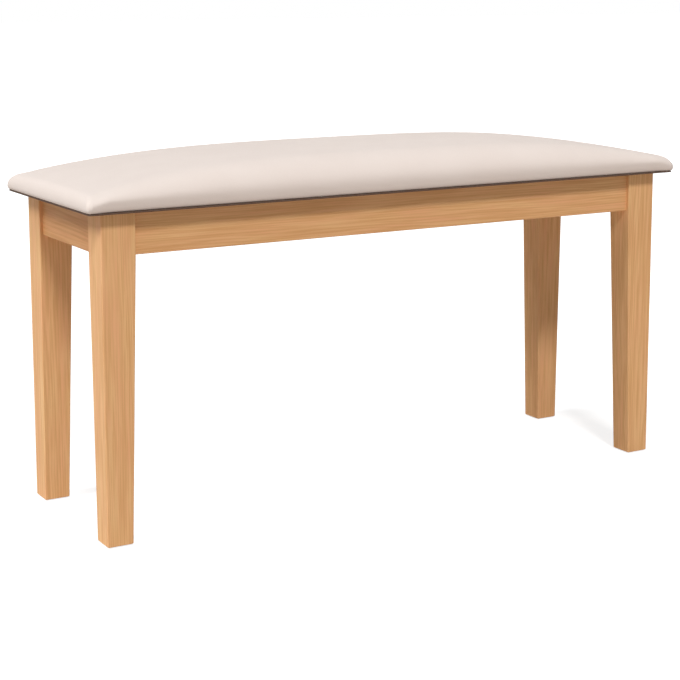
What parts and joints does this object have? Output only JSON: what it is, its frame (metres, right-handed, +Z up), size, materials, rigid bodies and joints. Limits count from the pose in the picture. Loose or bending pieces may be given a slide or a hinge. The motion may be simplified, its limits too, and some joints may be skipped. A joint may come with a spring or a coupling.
{
  "type": "upholstered wooden bench",
  "caption": "Oak dining bench with tapered square legs, set-back rails and a crowned upholstered seat pad that overhangs the frame.",
  "frame": {"origin": "on the floor, under the middle of the seat pad", "axes": "+X along the bench to the right as seen from its front, -Y towards the front, +Z up"},
  "size_m": [1, 0.325, 0.524],
  "materials": {
    "oak": "satin",
    "inner_wood": "matte",
    "dowel_beech": "matte",
    "zinc_steel": "satin",
    "glide_nylon": "matte",
    "lining_cloth": "matte",
    "plywood": "matte",
    "foam": "matte",
    "cover_fabric": "matte"
  },
  "bodies": {
    "root": {"leg_front_left": "oak", "leg_front_right": "oak", "leg_back_left": "oak", "leg_back_right": "oak", "rail_front": "oak", "rail_back": "oak", "rail_left": "oak", "rail_right": "oak", "corner_block_front_left": "inner_wood", "corner_block_front_right": "inner_wood", "corner_block_back_left": "inner_wood", "corner_block_back_right": "inner_wood", "centre_batten": "inner_wood", "rail_dowels": "dowel_beech", "batten_dowels": "dowel_beech", "hanger_bolts": "zinc_steel", "bolt_washers": "zinc_steel", "bolt_nuts": "zinc_steel", "block_screws": "zinc_steel", "seat_screws": "zinc_steel", "batten_screws": "zinc_steel", "foot_glides": "glide_nylon", "seat_lining": "lining_cloth", "seat_board": "plywood", "seat_foam": "foam", "seat_cover": "cover_fabric"}
  },
  "joints": []
}
